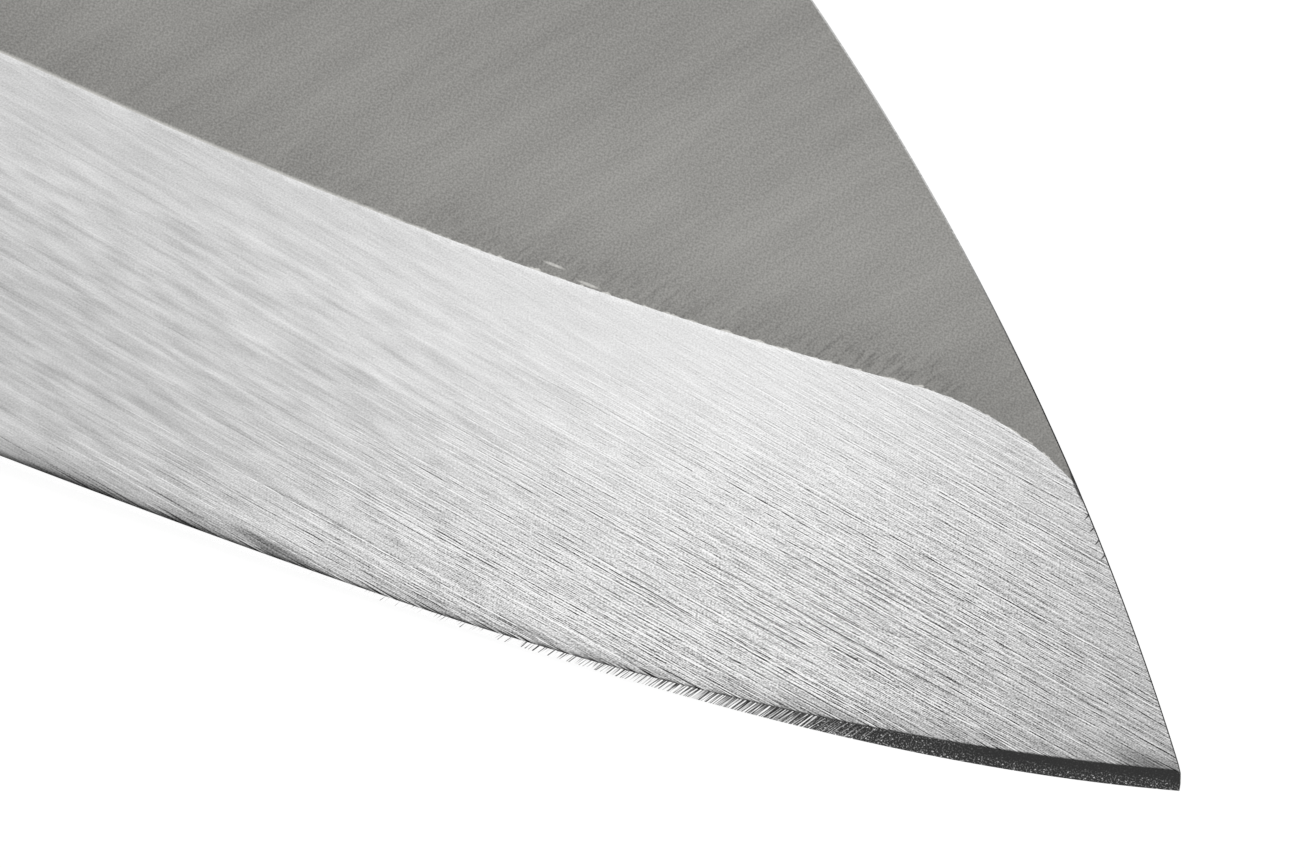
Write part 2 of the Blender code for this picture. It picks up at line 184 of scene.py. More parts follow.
def turned(place, angle, size, start=(0, 0)):
    """The place along and across a direction, counted in steps of that size."""
    rotation = (0, 0, math.radians(angle))
    inputs = {"Vector": place, "Location": (*start, 0), "Rotation": rotation, "Scale": size}
    return Field(add_node(place.tree, "Mapping", inputs, vector_type="TEXTURE"))


def streaks(place, angle, length, width, strength, detail=1.0, start=(0, 0)):
    """Soft marks of about that length and width, which brighten and darken about zero."""
    inputs = {"Vector": turned(place, angle, (length, width, 1), start), "Scale": 1.0, "Detail": detail}
    noise = Field(add_node(place.tree, "TexNoise", inputs, noise_dimensions="2D"))
    return (noise - 0.5) * strength


def thin_lines(place, angle, length, width, strength, start=(0, 0)):
    """Lines of nearly one width, side by side. They come and go, so none is endless."""
    drift = streaks(place, angle, 2 * length, 10 * width, strength=2.0, start=start)
    across_lines = part_of(turned(place, angle, (1, width, 1), start), "Y") + drift
    inputs = {"W": across_lines, "Scale": 1.0, "Detail": 1.0}
    noise = Field(add_node(place.tree, "TexNoise", inputs, noise_dimensions="1D"))
    presence = streaks(place, angle, length / 2, 1.5 * width, strength=4.0, start=start)
    return (noise - 0.5) * presence.fade((-0.9, 0.9), (0.0, 2.0)) * strength


def scratches(place, angle, length, width, share, start=(0, 0)):
    """Single lines with tapered ends, one or none in each cell. The share tells how many cells have one."""
    size = (length / SCRATCH_THINNESS / 2, width / SCRATCH_THINNESS / 2, 1)
    inputs = {"Vector": turned(place, angle, size, start), "Scale": 1.0}
    cells = add_node(place.tree, "TexVoronoi", inputs, voronoi_dimensions="2D")
    line = Field(cells, "Distance").fade((0.0, SCRATCH_THINNESS), (1.0, 0.0))
    draw = Field(add_node(place.tree, "SeparateColor", {"Color": Field(cells, "Color")}), "Red")
    return line * draw.fade((1 - share, 1 - share / 2))


def marks(place, spots, angle, length, width):
    """Short strokes at given places (x, y) in millimetres, each one where the surface was touched."""
    strokes = []
    for spot in spots:
        near = turned(place, angle, (length / 2, width / 2, IGNORED), spot)
        reach = Field(add_node(place.tree, "VectorMath", {0: near}, operation="LENGTH"), "Value")
        strokes.append(reach.fade((0.4, 1.0), (1.0, 0.0)))
    return sum(strokes)


print("patterns", [tool.__name__ for tool in (streaks, thin_lines, scratches, marks)])

# %% [markdown]
# A pattern reaches the eye in three ways: it colours the surface, it makes it duller or glossier, and it
# stands out a few thousandths of a millimetre. These helpers start a finish and connect the first and
# the last of the three.

# %% Start a finish


def new_finish(name, metallic=0.0):
    """A material with its main shader, and the place that its patterns read."""
    material = bpy.data.materials.new(name)
    material.use_nodes = True
    tree = material.node_tree
    shader = tree.nodes["Principled BSDF"]
    shader.inputs["Metallic"].default_value = metallic
    return material, shader, knife_place(tree)


def shade(shader, brightness, tint=(1.0, 1.0, 1.0)):
    """Turns a brightness into the finish's colour."""
    channels = {channel: brightness * part for channel, part in zip(("Red", "Green", "Blue"), tint)}
    feed(shader.inputs["Base Color"], Field(add_node(brightness.tree, "CombineColor", channels)))


def emboss(shader, height, depth):
    """Lets a pattern stand out of the surface by about that depth."""
    inputs = {"Height": height, "Distance": depth, "Strength": 1.0}
    feed(shader.inputs["Normal"], Field(add_node(height.tree, "Bump", inputs)))


def described(material):
    """Tells how many nodes a finished material has, and passes it on."""
    print(material.name, "has", len(material.node_tree.nodes), "nodes")
    return material


print("helpers of a finish", [tool.__name__ for tool in (new_finish, shade, emboss, described)])

# %% [markdown]
# The packed blade is a heap of loose triangles. Welded together, its faces can be told apart by the way
# they look: the flat side and the wide bevel differ by some ten degrees, the narrow bevel is steeper
# still, and the hollow of the back rises off its flat rim. Each gets its own finish. The alternative, one
# material that tells the faces apart by formulas, would blur their crisp borders.

# %% Weld the blade and sort its faces
WELD = 0.001 * MM
FLAT_SIDE_ANGLE = math.radians(2)
STEEP_ANGLE = math.radians(21)
# The machi is the step where the neck narrows to the tang
MACHI_X = -10.9 * MM
HEEL_ZONE = 0.2 * MM
RIM_HEIGHT = 5 * WELD
KINDS = (
    "flat_side", "wide_bevel", "edge_bevel", "spine_edge", "spine", "heel", "back_rim", "back_hollow", "tang"
)
# How far a normal of length one reaches up or sideways on faces that lie level, tilt, lean or stand
LEVEL = 0.9
TILTED = 0.5
LEANING = 0.3
UPRIGHT = 0.2

flat_side_normal = TURN_TO_KNIFE @ Vector(mounts["hira_face"]["axis"])


def welded(node):
    """A mesh to work on: a copy of a packed piece with its triangles joined."""
    shape = bmesh.new()
    shape.from_mesh(frame["nodes"][node].data)
    bmesh.ops.remove_doubles(shape, verts=shape.verts, dist=WELD)
    shape.normal_update()
    return shape


def face_kind(face):
    """The name of the finish that a face of the blade gets."""
    normal = TURN_TO_KNIFE @ face.normal
    middle = TO_KNIFE @ face.calc_center_median()
    rise = max(abs((TO_KNIFE @ vertex.co).z) for vertex in face.verts)
    if middle.x < MACHI_X:
        return "tang"
    if normal.angle(flat_side_normal) < FLAT_SIDE_ANGLE:
        return "flat_side"
    if normal.z < -LEVEL:
        return "back_rim" if rise < RIM_HEIGHT else "back_hollow"
    if normal.y > LEANING:
        return "spine_edge" if normal.z > LEANING else "spine"
    if normal.z > math.cos(STEEP_ANGLE):
        return "wide_bevel"
    if middle.x > HEEL_ZONE and normal.z > TILTED:
        return "edge_bevel"
    return "heel"


blade_shape = welded("blade")
for face in blade_shape.faces:
    face.material_index = KINDS.index(face_kind(face))
    face.smooth = True
print("faces of the blade", len(blade_shape.faces))

# %% [markdown]
# The cut from the heel to the neck is filed square, and then its edges are rubbed down so that they don't
# bite the hand. A bevel of a quarter of a millimetre does this. It is cut after the faces are sorted,
# because its own small faces belong to the cut.

# %% Ease the cut behind the heel
EASE = 0.25 * MM
LOWEST_EASED_Y = -47 * MM


def cut_edges(shape):
    """Edges between the cut, which stands upright, and the flat faces on both sides of it."""
    chosen = []
    for edge in shape.edges:
        middle = TO_KNIFE @ ((edge.verts[0].co + edge.verts[1].co) / 2)
        if not (MACHI_X < middle.x < HEEL_ZONE and LOWEST_EASED_Y < middle.y < -EASE):
            continue
        leans = sorted(abs((TURN_TO_KNIFE @ face.normal).z) for face in edge.link_faces)
        if leans[0] < UPRIGHT and leans[-1] > LEVEL:
            chosen.append(edge)
    return chosen


cuts = cut_edges(blade_shape)
eased = bmesh.ops.bevel(
    blade_shape, geom=cuts, offset=EASE, affect="EDGES", segments=2, profile=0.5, material=-1
)
for face in eased["faces"]:
    face.material_index = KINDS.index("heel")
    face.smooth = True
bmesh.ops.dissolve_degenerate(blade_shape, edges=blade_shape.edges, dist=WELD)
blade_shape.normal_update()
print("eased edges", len(cuts), "new faces", len(eased["faces"]))

# %% [markdown]
# Smooth shading would round the ridge over. So the edges between two finishes are marked sharp, and with
# them each edge that turns by more than a quarter of a right angle.

# %% Keep the ridges crisp
SHARP_ANGLE = math.radians(22)

for edge in blade_shape.edges:
    kinds = {face.material_index for face in edge.link_faces}
    turned_far = edge.is_manifold and edge.calc_face_angle() > SHARP_ANGLE
    edge.smooth = len(kinds) == 1 and not turned_far
print("sharp edges", sum(not edge.smooth for edge in blade_shape.edges))

# %% [markdown]
# Some finishes change with their distance from a line: the flat side darkens near the ridge, and the wide
# bevel near the edge. Every corner of the mesh stores that distance, found with a search tree over the
# corners that lie on the line.

# %% Store distances from the lines of the blade


def corners_between(shape, first, second):
    """Corners that touch faces of both kinds."""
    pair = {KINDS.index(first), KINDS.index(second)}
    return [vertex for vertex in shape.verts if pair <= {face.material_index for face in vertex.link_faces}]


def store_distance(shape, first, second, name):
    """Stores how far each corner lies from the line between two kinds of faces, in millimetres."""
    layer = shape.verts.layers.float.new(name)
    corners = corners_between(shape, first, second)
    tree = KDTree(len(corners))
    for index, corner in enumerate(corners):
        tree.insert(corner.co, index)
    tree.balance()
    for vertex in shape.verts:
        vertex[layer] = tree.find(vertex.co)[2] / MM
    print(name, "is measured from", len(corners), "corners")


def stored(place, name):
    """Reads a stored number in a finish."""
    return Field(add_node(place.tree, "Attribute", attribute_name=name), "Fac")


store_distance(blade_shape, "flat_side", "wide_bevel", "from_ridge")
store_distance(blade_shape, "wide_bevel", "edge_bevel", "from_bevel")

# %% [markdown]
# The flat side, the hira, is finished on a fine belt that crosses it steeply. It scatters light so evenly
# that it looks matte. Its tone, darker than the bevel's, is partly that finish and partly a painted dark
# reflection. Its lines are faint, and a soft painted sheen of reflected light lies across it and fades
# before the point. Towards the point some dark specks lie along the ridge, where the belt didn't quite
# reach, and the ridge itself is a little ragged. Where it runs into the spine, the spine's edge is rolled
# over, and its shade is painted dark there.
#
# Each fade of x names a stretch of the blade, in millimetres from the heel, over which something changes.

# %% Finish of the flat side
BELT_ANGLE = 56
PAINTED_SHEEN_SLANT = 0.45
STRAY_MARKS = ((124.6, -26.8), (126.6, -27.0))
# Where shade is painted on the spine's rolled edge
PAINTED_SHADE_SPOT = (153.6, -26.25)
SPINE_ANGLE = -43
# Partly the matte finish, partly a painted dark reflection
FLAT_SIDE_FINISH_AND_DARK_REFLECTION = 0.285
FLAT_SIDE_TINT = (1.014, 1.0, 0.957)


def painted_shade_on_rolled_edge(place):
    """Paints shade on the spine's rolled edge where the ridge runs into it."""
    return marks(place, (PAINTED_SHADE_SPOT,), SPINE_ANGLE, length=2.4, width=0.26).fade((0, 1), (1.0, 0.2))


def ridge_specks(place, ridge, raggedness):
    """Dark specks above the ridge. They are densest just before the ridge turns down to the spine."""
    x = part_of(place, "X")
    specks = streaks(place, BELT_ANGLE + 6, length=1.1, width=0.24, strength=1.0, detail=2).fade((-0.1, 0.3))
    density = raggedness * 0.7 + x.fade((136, 142), (0.3, 0.9))
    return specks * ridge.fade((0.5, 2.6), (0.12, 0.0)) * density * x.fade((144, 148), (1.0, 0.15))


def flat_side_finish():
    material, shader, place = new_finish("hira_matte_steel", metallic=1.0)
    ridge = stored(place, "from_ridge")
    x = part_of(place, "X")
    raggedness = x.fade((106, 128))

    bands = streaks(place, BELT_ANGLE, length=16, width=1.6, strength=0.13)
    lines = streaks(place, BELT_ANGLE, length=2.5, width=0.3, strength=0.08)
    grain = streaks(place, 10, length=0.11, width=0.10, strength=0.5)
    pattern = bands + lines + grain - ridge_specks(place, ridge, raggedness)
    beside_ridge = ridge.fade((0.0, 5.0), (-0.07, 0.0))
    # A painted sheen of reflected light across the flat side, dimmer before the point
    painted_sheen = (x * PAINTED_SHEEN_SLANT - part_of(place, "Y")).fade((68, 84), (0.965, 1.04))
    painted_sheen = painted_sheen * x.fade((141, 148), (1.0, 0.95))
    tone = ((pattern + beside_ridge + 1.0) * painted_sheen).fade((0.0, 2.0), (0.0, 2 * FLAT_SIDE_FINISH_AND_DARK_REFLECTION))

    stray = marks(place, STRAY_MARKS, angle=3, length=1.5, width=0.2) * 0.24
    frayed = ridge + streaks(place, 20, length=0.5, width=0.35, strength=0.4) * raggedness
    over_ridge = frayed.fade((-0.02, raggedness.fade((0, 1), (0.2, 0.05))), (0.3, 0.0))
    shade(shader, (tone + stray + over_ridge) * painted_shade_on_rolled_edge(place), FLAT_SIDE_TINT)
    feed(shader.inputs["Roughness"], bands * 0.5 + grain * 0.2 + 0.5)
    emboss(shader, lines + grain, depth=0.004 * MM)
    return described(material)


blade_finishes = {"flat_side": flat_side_finish()}

# %% [markdown]
# The wide bevel, the kireha, is ground lengthwise on coarser stones and is the brightest face. Its lines
# run about five degrees off the blade's axis. Near the point and the heel they are crisp, and between
# them they are worn soft, first along the ridge and then down to the edge.

# %% Lines of the wide bevel
LINES_ANGLE = -5.2
EDGE_Y = -45
CRISP_SLANT = 1.8


def crispness(place):
    """One where the grinding lines are crisp. It falls off between the point and the heel."""
    x = part_of(place, "X")
    above_edge = part_of(place, "Y") - EDGE_Y
    towards_point = (x - above_edge * CRISP_SLANT).fade((98, 140), (0.06, 1.1))
    towards_point = towards_point * x.fade((148, 160), (1.0, 0.65))
    return towards_point.calculate("MAXIMUM", x.fade((80, 98), (0.6, 0.0)))


def grinding_lines(place, crisp):
    """Crisp lines in several widths, with single scratches, on a fine grain."""
    wide = thin_lines(place, LINES_ANGLE - 1.2, length=6, width=0.10, strength=0.9)
    thin = thin_lines(place, LINES_ANGLE + 0.9, length=3.5, width=0.075, strength=1.6, start=(5, 2))
    hair = thin_lines(place, LINES_ANGLE, length=1.6, width=0.065, strength=3.3, start=(9, 4))
    dark = scratches(place, LINES_ANGLE + 0.5, length=3.5, width=0.07, share=0.8)
    light = scratches(place, LINES_ANGLE - 0.9, length=4, width=0.065, share=0.8, start=(3, 1))
    grain = streaks(place, 20, length=0.10, width=0.08, strength=1.0) * crisp.fade((0.0, 1.1), (0.4, 1.9))
    return (wide + thin + hair + dark * -0.5 + light * 0.45) * crisp + grain


def soft_clouds(place, ridge):
    """Soft streaks, which show most where the lines are worn."""
    x = part_of(place, "X")
    share = x.fade((80, 98), (0.35, 1.0)) * x.fade((108, 140), (1.0, 0.38)) * ridge.fade((1, 7), (0.5, 1.0))
    short = streaks(place, LINES_ANGLE - 1, length=3, width=0.5, strength=0.6, detail=3)
    long = streaks(place, LINES_ANGLE - 1, length=9, width=0.3, strength=0.4)
    return (short + long) * share


print("the lines run", LINES_ANGLE, "degrees off the axis")

# %% [markdown]
# The tone of the wide bevel is a product of several fades: a bright line under the ridge, partly burnished
# steel and partly a painted glint; painted shade near the edge, with dark patches and a dark line above
# the edge bevel; and painted light that is brightest below the ridge and falls off towards the point and
# the heel. The dark line is broad and soft far from the point. On the belly it is thin and feathered,
# because there the single lines of the stone run out over it. A few nicks from use sit at the spine near
# the point.

# %% Finish of the wide bevel
NOTCHES = ((154.8, -27.4), (155.3, -27.9), (155.8, -28.4), (156.4, -28.95))
NOTCH_ANGLE = 72
WIDE_BEVEL_BRIGHTNESS = 0.695


def painted_edge_shade(place, edge):
    """Paints shade near the edge where the stone lifts off, and dark patches and a dark line there."""
    x = part_of(place, "X")
    patches = streaks(place, LINES_ANGLE - 3, length=7, width=0.6, strength=1.4, detail=2)
    fine = thin_lines(place, LINES_ANGLE - 1.2, length=6, width=0.10, strength=1.7)
    grain = streaks(place, 20, length=0.10, width=0.08, strength=0.7)
    near_point = x.fade((148, 158), (0.0, 0.25)) * x.fade((158.5, 163), (1.0, -0.9))
    darkest = x.fade((112, 122), (0.44, 0.6)) + near_point
    # Painted shade where the bevel rolls off towards the edge
    painted_rolloff_shade = (edge + patches).fade((-0.3, 1.5), (darkest, 1.0))

    patchy_darkening = (edge + patches * 2.0 + fine + grain).fade((-0.3, 0.7), (0.3, 1.0))
    patchy_darkening = x.fade((112, 124), (patchy_darkening, 1.0))

    feathered = edge + fine * x.fade((112, 120), (0.12, 0.5)) * x.fade((134, 142), (1.0, 0.0))
    thickness = x.fade((110, 120), (0.38, 0.24)) * x.fade((129, 142), (1.0, 0.5))
    dark_line_above_bevel = feathered.fade((0.0, thickness), (x.fade((112, 120), (0.22, 0.09)), 1.0))
    return painted_rolloff_shade * patchy_darkening * dark_line_above_bevel


def wide_bevel_finish():
    material, shader, place = new_finish("kireha_ground_steel", metallic=1.0)
    x = part_of(place, "X")
    ridge = stored(place, "from_ridge")
    lines = grinding_lines(place, crispness(place))
    pattern = lines + soft_clouds(place, ridge)

    ragged = streaks(place, LINES_ANGLE, length=0.7, width=0.4, strength=0.5)
    # A bright line under the ridge: partly burnished steel, partly a painted glint
    burnish_and_painted_glint = (ridge + ragged).fade((0.05, 0.3), (1.12, 1.0))
    # Painted light: brightest below the ridge, falling off towards the point and the heel
    towards_point = x.fade((136, 163), (1.0, 0.68))
    painted_dimming_to_heel = x.fade((102, 136), (0.81, 1.02))
    light = ridge.fade((3, 14), (1.10, 0.97)) * towards_point * painted_dimming_to_heel
    tone = (pattern + 1.0) * painted_edge_shade(place, stored(place, "from_bevel")) * burnish_and_painted_glint * light
    notches = marks(place, NOTCHES, NOTCH_ANGLE, length=0.65, width=0.12).fade((0, 1), (1.0, 0.15))
    shade(shader, tone * notches * painted_shade_on_rolled_edge(place) * WIDE_BEVEL_BRIGHTNESS)
    feed(shader.inputs["Roughness"], pattern * -0.1 + 0.34)
    emboss(shader, lines, depth=0.0015 * MM)
    return described(material)


blade_finishes["wide_bevel"] = wide_bevel_finish()

# %% [markdown]
# The narrow bevel carries the edge itself. It was honed across the blade with short strokes, which show
# as slanting hatches. Its reflection is painted into its colour: white as far as the belly, where it
# mirrors the bright room, and dark towards the point, where it leans another way and is widest. There
# light flecks with painted glints replace the strokes, first all over the bevel and then only next to
# the edge.

# %% Finish of the edge bevel
HONING_ANGLE = 61
PAINTED_BRIGHT_UNTIL = 134
PAINTED_DARK_FROM = 147.5
DARKEST_PAINTED = 0.035
PAINTED_GLINT_BRIGHTNESS = 0.09


def hatches(place):
    """Short honing strokes, which are clearest on the belly."""
    x = part_of(place, "X")
    strokes = thin_lines(place, HONING_ANGLE, length=2.5, width=0.085, strength=3.6)
    fine_strokes = thin_lines(place, HONING_ANGLE - 3, length=1.8, width=0.07, strength=2.6, start=(2, 7))
    return (strokes + fine_strokes) * x.fade((114, 132), (0.2, 1.0)) * x.fade((140, 153), (1.0, 0.06))


def painted_glint_flecks(place, down):
    """Fine grains with painted glints, which show where the bevel is dark."""
    x = part_of(place, "X")
    grain = streaks(place, 0, length=0.09, width=0.08, strength=1.0).fade((0.0, 0.3))
    specks = scratches(place, 30, length=0.13, width=0.08, share=0.8)
    next_to_edge = down.fade((0.3, 1.0), (0.2, 2.4))
    all_over = x.fade((143, 148), (0.0, 2.3)) * x.fade((149, 156), (1.0, 0.0))
    return (grain + specks * 3.0) * (next_to_edge + all_over) * PAINTED_GLINT_BRIGHTNESS


def edge_bevel_finish():
    material, shader, place = new_finish("honed_edge_painted_reflection", metallic=1.0)
    x = part_of(place, "X")
    down = stored(place, "from_bevel")
    strokes = hatches(place)
    # The painted reflection: white as far as the belly, dark towards the point
    painted_darkening = (x - PAINTED_BRIGHT_UNTIL) * (1 / (PAINTED_DARK_FROM - PAINTED_BRIGHT_UNTIL))
    painted_darkening = painted_darkening.calculate("MAXIMUM", -0.5)
    under_line = down.fade((0.0, 0.45), (0.15, -0.12)) * x.fade((140, 147), (1.0, 0.25))
    ground = (painted_darkening + under_line + strokes).fade((0.0, 1.0), (1.0, DARKEST_PAINTED))
    shade(shader, ground + painted_glint_flecks(place, down))
    feed(shader.inputs["Roughness"], 0.3)
    emboss(shader, strokes, depth=0.003 * MM)
    return described(material)


blade_finishes["edge_bevel"] = edge_bevel_finish()

# %% [markdown]
# The spine and the cuts behind the heel are filed and then rubbed with paper. Their lines run across the
# thickness. The hollow back is ground lengthwise on a large wheel, while its rim is polished flat on a
# stone. The tang stays as it was forged, dark and rough. One function makes all of them.

# %% Finishes of the other steel faces


def plain_steel(
    name, brightness, angle, roughness, lines=0.3, grain=0.1, tint=(1.0, 1.0, 0.99), painted_reflection_at_point=1.0
):
    """Ground steel with one direction of lines. Near the point a painted reflection can change its
    brightness.
    """
    material, shader, place = new_finish(name, metallic=1.0)
    bands = streaks(place, angle, length=30, width=1.8, strength=lines / 2)
    thin = thin_lines(place, angle, length=7, width=0.12, strength=2 * lines)
    pattern = bands + thin + streaks(place, 0, length=0.12, width=0.12, strength=grain)
    tone = part_of(place, "X").fade((140, 150), (brightness, brightness * painted_reflection_at_point))
    shade(shader, (pattern + 1.0) * tone, tint)
    feed(shader.inputs["Roughness"], pattern * -0.3 + roughness)
    emboss(shader, pattern, depth=0.004 * MM)
    return described(material)


blade_finishes["spine"] = plain_steel("spine_steel", 0.5, angle=90, roughness=0.36)
# The spine's edge gets a painted dark reflection near the point
blade_finishes["spine_edge"] = plain_steel("spine_edge_steel", 0.5, angle=20, roughness=0.4, painted_reflection_at_point=0.04)
blade_finishes["heel"] = plain_steel("heel_steel", 0.45, angle=80, roughness=0.4)
blade_finishes["back_rim"] = plain_steel("back_rim_steel", 0.7, angle=2, roughness=0.2)
blade_finishes["back_hollow"] = plain_steel("back_hollow_steel", 0.42, angle=4, roughness=0.32, lines=0.45)
blade_finishes["tang"] = plain_steel(
    "tang_steel", 0.16, angle=0, roughness=0.55, lines=0.2, grain=0.5, tint=(1.0, 0.95, 0.9)
)

# %% [markdown]
# A finished mesh becomes an object that rides on the knife's only body, and the packed piece that it
# stands for is hidden.

# %% Put the blade into the scene


def add_piece(name, shape, finishes, node):
    """Makes the object for a finished mesh, rides it on the knife and hides the packed node it stands for."""
    mesh = bpy.data.meshes.new(name)
    shape.to_mesh(mesh)
    shape.free()
    for finish in finishes:
        mesh.materials.append(finish)
    piece = bpy.data.objects.new(name, mesh)
    bpy.context.scene.collection.objects.link(piece)
    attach(piece, "root")
    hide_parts(node)
    print(name, len(mesh.polygons), "faces")
    return piece


add_piece("blade_body", blade_shape, [blade_finishes[kind] for kind in KINDS], "blade")

# %% [markdown]
# The packed pieces stand 0.3 mm apart so that none overlaps another. On the real knife horn and wood are
# pressed together, and the seal fills the mouth. So the ferrule's back rim is moved up to the wood, and
# the seal is widened to both sides. Round rims are softened a little, as sandpaper leaves them.

# %% Close the joints
FERRULE_BACK_X = -43 * MM
GAP = 0.3 * MM
LEFT_OPEN = 0.03 * MM
RIM = 0.12 * MM
SMOOTH_ANGLE = math.radians(30)
TURN_TO_ROOM = KNIFE.to_3x3()


def is_at(vertex, x):
    """Tells whether a corner lies at that place along the knife."""
    return abs((TO_KNIFE @ vertex.co).x - x) < WELD


def smoothed(shape):
    """Shades a shape smoothly, except over edges that turn far."""
    for face in shape.faces:
        face.smooth = True
    for edge in shape.edges:
        edge.smooth = not edge.is_manifold or edge.calc_face_angle() < SMOOTH_ANGLE
    return shape


def soften_rim(shape, x):
    """Rounds the edges at one place along the knife a little."""
    rims = [edge for edge in shape.edges if all(is_at(vertex, x) for vertex in edge.verts)]
    rims = [edge for edge in rims if edge.is_manifold and edge.calc_face_angle() > SMOOTH_ANGLE]
    bmesh.ops.bevel(shape, geom=rims, offset=RIM, affect="EDGES", segments=2, profile=0.5, material=-1)
    print("softened edges", len(rims))


ferrule_shape = welded("ferrule")
for vertex in ferrule_shape.verts:
    if is_at(vertex, FERRULE_BACK_X):
        vertex.co += TURN_TO_ROOM @ Vector((LEFT_OPEN - GAP, 0, 0))
soften_rim(ferrule_shape, FERRULE_BACK_X + LEFT_OPEN - GAP)

handle_shape = welded("handle")
soften_rim(handle_shape, FERRULE_BACK_X - GAP)

seal_shape = welded("tang_seal")
for vertex in seal_shape.verts:
    sideways = TURN_TO_KNIFE @ vertex.normal
    sideways.x = 0
    vertex.co += TURN_TO_ROOM @ (sideways.normalized() * (GAP - LEFT_OPEN))

# %% [markdown]
# Noise that is stretched in space, not only on one plane, suits the round pieces. It runs through them
# like real growth, so it shows as long lines on the sides and as dots or rings on the ends.

# %% Patterns that run through a piece


def grown(place, length, width, detail=2.0):
    """Noise from 0 to 1 in marks with that length along the knife and that width across it."""
    inputs = {"Vector": place, "Scale": (1 / length, 1 / width, 1 / width)}
    spot = Field(add_node(place.tree, "Mapping", inputs))
    return Field(add_node(place.tree, "TexNoise", {"Vector": spot, "Scale": 1.0, "Detail": detail}))


def blend(share, first, second):
    """A colour between two others."""
    ramp = add_node(share.tree, "ValToRGB", {"Fac": share})
    ramp.color_ramp.elements[0].color = (*first, 1)
    ramp.color_ramp.elements[1].color = (*second, 1)
    return Field(ramp, "Color")


print("patterns", [tool.__name__ for tool in (grown, blend)])

# %% [markdown]
# The ferrule is a ring of black buffalo horn, sanded fine and polished. Horn has faint brown streaks
# along its growth, and its polish shows hair scratches from use.

# %% Ferrule of horn
HORN_BLACK = (0.010, 0.009, 0.008)
HORN_BROWN = (0.048, 0.030, 0.018)


def horn_finish():
    material, shader, place = new_finish("black_horn")
    growth = grown(place, length=12, width=1.3, detail=3).fade((0.5, 0.72))
    fibres = grown(place, length=3, width=0.16)
    scuffs = grown(place, length=0.12, width=2.5).fade((0.58, 0.75))
    feed(shader.inputs["Base Color"], blend(growth * 0.7 + fibres * growth * 0.3, HORN_BLACK, HORN_BROWN))
    feed(shader.inputs["Roughness"], scuffs * 0.1 + fibres * 0.05 + 0.15)
    emboss(shader, fibres - scuffs * 0.5, depth=0.003 * MM)
    return described(material)


add_piece("ferrule_ring", smoothed(ferrule_shape), [horn_finish()], "ferrule")

# %% [markdown]
# The handle is magnolia, a soft pale wood with a straight and very fine grain. Its yearly rings lie
# round the middle of the tree, which is somewhere beside the handle. They show as long lines on the
# sides and as arcs on the butt, where the cut fibres drink more light and look darker.

# %% Handle of magnolia
TREE_MIDDLE = (0, -46, 30)
RING_WIDTH = 2.1
RING_SWAY = 9
PALE_WOOD = (0.76, 0.60, 0.40)
DARK_WOOD = (0.34, 0.21, 0.105)


def store_end_grain(shape):
    """Stores how far each corner of the mesh faces along the fibres."""
    layer = shape.verts.layers.float.new("end_grain")
    shape.normal_update()
    for vertex in shape.verts:
        vertex[layer] = abs((TURN_TO_KNIFE @ vertex.normal).x)


def late_wood(place):
    """Goes up and down once in each yearly ring. The rings sway a little along the trunk."""
    inputs = {"Vector": place, "Location": tuple(-value for value in TREE_MIDDLE), "Scale": (0, 1, 1)}
    from_middle = Field(add_node(place.tree, "Mapping", inputs))
    radius = Field(add_node(place.tree, "VectorMath", {0: from_middle}, operation="LENGTH"), "Value")
    sway = grown(place, length=90, width=16) * RING_SWAY
    return ((radius + sway) * (2 * math.pi / RING_WIDTH)).calculate("SINE").fade((0, 1))


def wood_finish():
    material, shader, place = new_finish("pale_magnolia")
    end = stored(place, "end_grain").fade((0.3, 0.95))
    fibres = grown(place, length=24, width=0.2, detail=3)
    pores = grown(place, length=2.2, width=0.08, detail=0).fade((0.62, 0.74))
    stains = grown(place, length=30, width=11)
    darkness = late_wood(place) * 0.16 + fibres * 0.5 + pores * 0.2 + stains * 0.35 + end * 0.26 - 0.26
    feed(shader.inputs["Base Color"], blend(darkness, PALE_WOOD, DARK_WOOD))
    feed(shader.inputs["Roughness"], pores * 0.2 + stains * 0.12 + end * 0.1 + 0.46)
    emboss(shader, fibres - pores * 0.8, depth=0.04 * MM)
    return described(material)


store_end_grain(handle_shape)
add_piece("handle_grip", smoothed(handle_shape), [wood_finish()], "handle")

# %% [markdown]
# A little dark resin closes the mouth round the tang, so that water stays out. It set with a dull skin
# and a few pits.

# %% Seal of resin
RESIN_BLACK = (0.018, 0.013, 0.010)
RESIN_BROWN = (0.085, 0.060, 0.040)


def resin_finish():
    material, shader, place = new_finish("dark_resin")
    lumps = grown(place, length=1.1, width=0.9, detail=3)
    pits = grown(place, length=0.25, width=0.25, detail=0).fade((0.62, 0.72))
    feed(shader.inputs["Base Color"], blend(lumps, RESIN_BLACK, RESIN_BROWN))
    feed(shader.inputs["Roughness"], lumps * 0.2 + pits * 0.2 + 0.34)
    emboss(shader, lumps - pits * 0.5, depth=0.12 * MM)
    return described(material)


add_piece("mouth_seal", smoothed(seal_shape), [resin_finish()], "tang_seal")

# %% [markdown]
# The background is plain white paper. Most of its white is a glow that only the camera and reflections
# see, so that it stays even. The rest is lit by the lamps and takes the knife's shadow.

# %% White floor
FLOOR_SIZE = 6.0
PAPER_GLOW = 0.85
PAPER_LIT = (0.25, 0.25, 0.25, 1)
PAPER_FOR_BOUNCES = (0.8, 0.8, 0.8, 1)
WHITE = (1, 1, 1, 1)


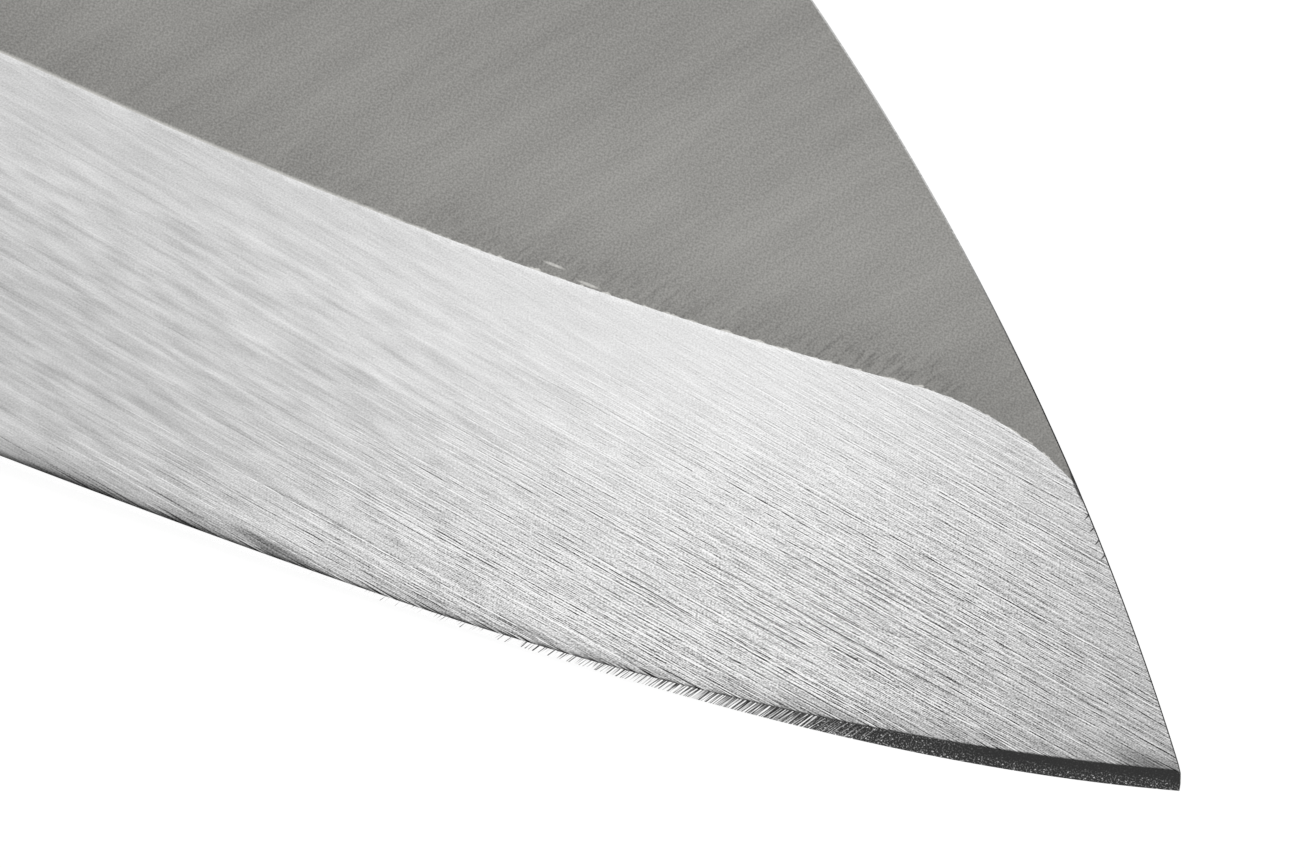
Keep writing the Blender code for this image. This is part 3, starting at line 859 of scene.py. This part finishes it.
def add_floor():
    shape = bmesh.new()
    bmesh.ops.create_grid(shape, x_segments=1, y_segments=1, size=FLOOR_SIZE / 2)
    mesh = bpy.data.meshes.new("floor")
    shape.to_mesh(mesh)
    shape.free()
    floor = bpy.data.objects.new("floor", mesh)
    bpy.context.scene.collection.objects.link(floor)
    return floor


def seen_directly(tree):
    """One for the camera's rays and for those in reflections or through glass."""
    rays = add_node(tree, "LightPath")
    mirrored = Field(rays, "Is Glossy Ray").calculate("MAXIMUM", Field(rays, "Is Transmission Ray"))
    return Field(rays, "Is Camera Ray").calculate("MAXIMUM", mirrored)


def paper_finish():
    material = bpy.data.materials.new("white_paper")
    material.use_nodes = True
    tree = material.node_tree
    tree.nodes.clear()
    glow = Field(add_node(tree, "Emission", {"Color": WHITE, "Strength": PAPER_GLOW}))
    lit = Field(add_node(tree, "BsdfDiffuse", {"Color": PAPER_LIT}))
    seen = Field(add_node(tree, "AddShader", {0: lit, 1: glow}))
    plain = Field(add_node(tree, "BsdfDiffuse", {"Color": PAPER_FOR_BOUNCES}))
    mixed = Field(add_node(tree, "MixShader", {0: seen_directly(tree), 1: plain, 2: seen}))
    add_node(tree, "OutputMaterial", {"Surface": mixed})
    return described(material)


floor = add_floor()
floor.data.materials.append(paper_finish())

# %% [markdown]
# Light comes from all round, as in a tent of white cloth, with one large soft lamp on the spine's side.
# From there it doesn't glare on the wide bevel, which leans the other way.

# %% Soft light
ROOM_LIGHT = 0.6
KEY_POWER = 2.0
KEY_SIZE = 0.5
KEY_DISTANCE = 0.8
KEY_DIRECTION = Vector((-0.35, 0.75, 0.8))


def light_room():
    """White for the eye and in reflections, and a softer light for everything else."""
    world = bpy.data.worlds.new("room")
    bpy.context.scene.world = world
    world.use_nodes = True
    tree = world.node_tree
    tree.nodes.clear()
    strength = seen_directly(tree).fade((0, 1), (ROOM_LIGHT, 1.0))
    glow = Field(add_node(tree, "Background", {"Color": WHITE, "Strength": strength}))
    add_node(tree, "OutputWorld", {"Surface": glow})


def add_lamp(name, direction, distance, size, power):
    """A round lamp that shines on the middle of the picture from that direction."""
    data = bpy.data.lights.new(name, "AREA")
    data.shape = "DISK"
    data.size = size
    data.energy = power
    lamp = bpy.data.objects.new(name, data)
    lamp.location = KNIFE @ VIEW_CENTRE + distance * direction.normalized()
    lamp.rotation_euler = direction.to_track_quat("Z", "Y").to_euler()
    bpy.context.scene.collection.objects.link(lamp)
    print(name, "stands at", [round(value, 2) for value in lamp.location])


light_room()
add_lamp("key_lamp", KEY_DIRECTION, KEY_DISTANCE, KEY_SIZE, KEY_POWER)

# %% [markdown]
